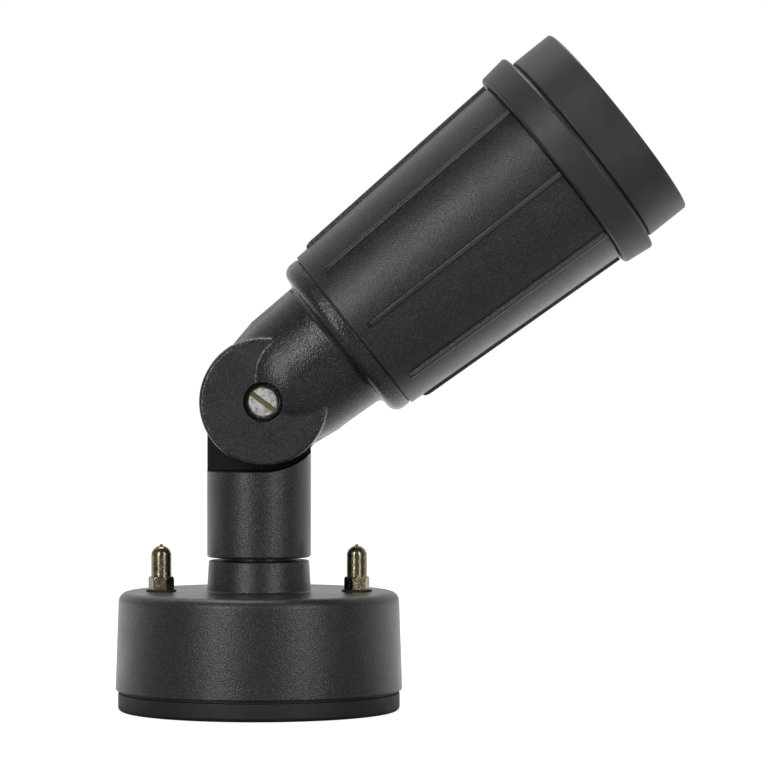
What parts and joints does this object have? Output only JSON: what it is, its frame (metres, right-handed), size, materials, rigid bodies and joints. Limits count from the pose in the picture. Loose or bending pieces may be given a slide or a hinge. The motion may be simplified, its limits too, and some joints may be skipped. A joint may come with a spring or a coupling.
{
  "type": "floodlight",
  "caption": "Exterior spotlight holder: a round surface base carries a swivelling stem with a half-lapped tilt knuckle and a ribbed tapered housing with a rubber boot for a reflector lamp.",
  "frame": {"origin": "centre of the base's wall face", "axes": "+Z away from the wall along the stem's swivel axis, +X towards the side that the head leans to at rest, Y along the tilt pivot, with the pivot screw's head on the -Y side"},
  "size_m": [0.2236, 0.1126, 0.2648],
  "materials": {
    "body_plastic": "black glass-filled plastic with a fine spark-eroded grain",
    "gasket_rubber": "black moulded rubber, smooth",
    "boot_rubber": "black moulded rubber, smooth and matt",
    "washer_rubber": "dark sealing rubber",
    "yellow_zinc": "yellow-passivated zinc plating with an iridescent cast",
    "plated_steel": "bright zinc plating",
    "pivot_steel": "zinc plating, scratched by screwdrivers",
    "nylon": "dark nylon washer",
    "white_plastic": "white moulded insulating plastic",
    "brass": "turned and pressed brass",
    "porcelain": "white glazed porcelain",
    "lead_sleeve": "woven glass-fibre sleeving over the conductors"
  },
  "bodies": {
    "base": {"base_gasket": "gasket_rubber", "base_cover": "body_plastic", "mounting_bracket": "plated_steel", "fixing_studs": "yellow_zinc", "nut_washers": "washer_rubber", "dome_nuts": "yellow_zinc", "terminal_block": "white_plastic", "terminal_sleeves": "brass", "terminal_screws": "plated_steel", "thrust_washer": "nylon"},
    "stem": {"swivel_stem": "body_plastic", "spring_washer": "plated_steel", "locknut": "plated_steel", "knuckle_seal": "gasket_rubber", "friction_washer": "nylon", "pivot_screw": "pivot_steel", "pivot_washer": "pivot_steel", "pivot_nut": "pivot_steel", "lamp_leads": "lead_sleeve"},
    "head": {"knuckle_arm": "body_plastic", "joint_gasket": "gasket_rubber", "lamp_housing": "body_plastic", "housing_screws": "plated_steel", "rubber_boot": "boot_rubber", "holder_plate": "plated_steel", "plate_screws": "plated_steel", "lampholder": "porcelain", "holder_screws": "plated_steel", "screw_shell": "brass", "centre_contact": "brass"}
  },
  "joints": [
    {"name": "stem_swivel", "type": "hinge", "parent": "base", "child": "stem", "pos_m": [0, 0, 0.0595], "axis": [0, 0, 1], "range_deg": [-175, 175], "deforming": ["lamp_leads"]},
    {"name": "head_tilt", "type": "hinge", "parent": "stem", "child": "head", "pos_m": [0.0022, 0, 0.1212], "axis": [0, -1, 0], "range_deg": [-10, 140], "deforming": ["lamp_leads"]}
  ]
}
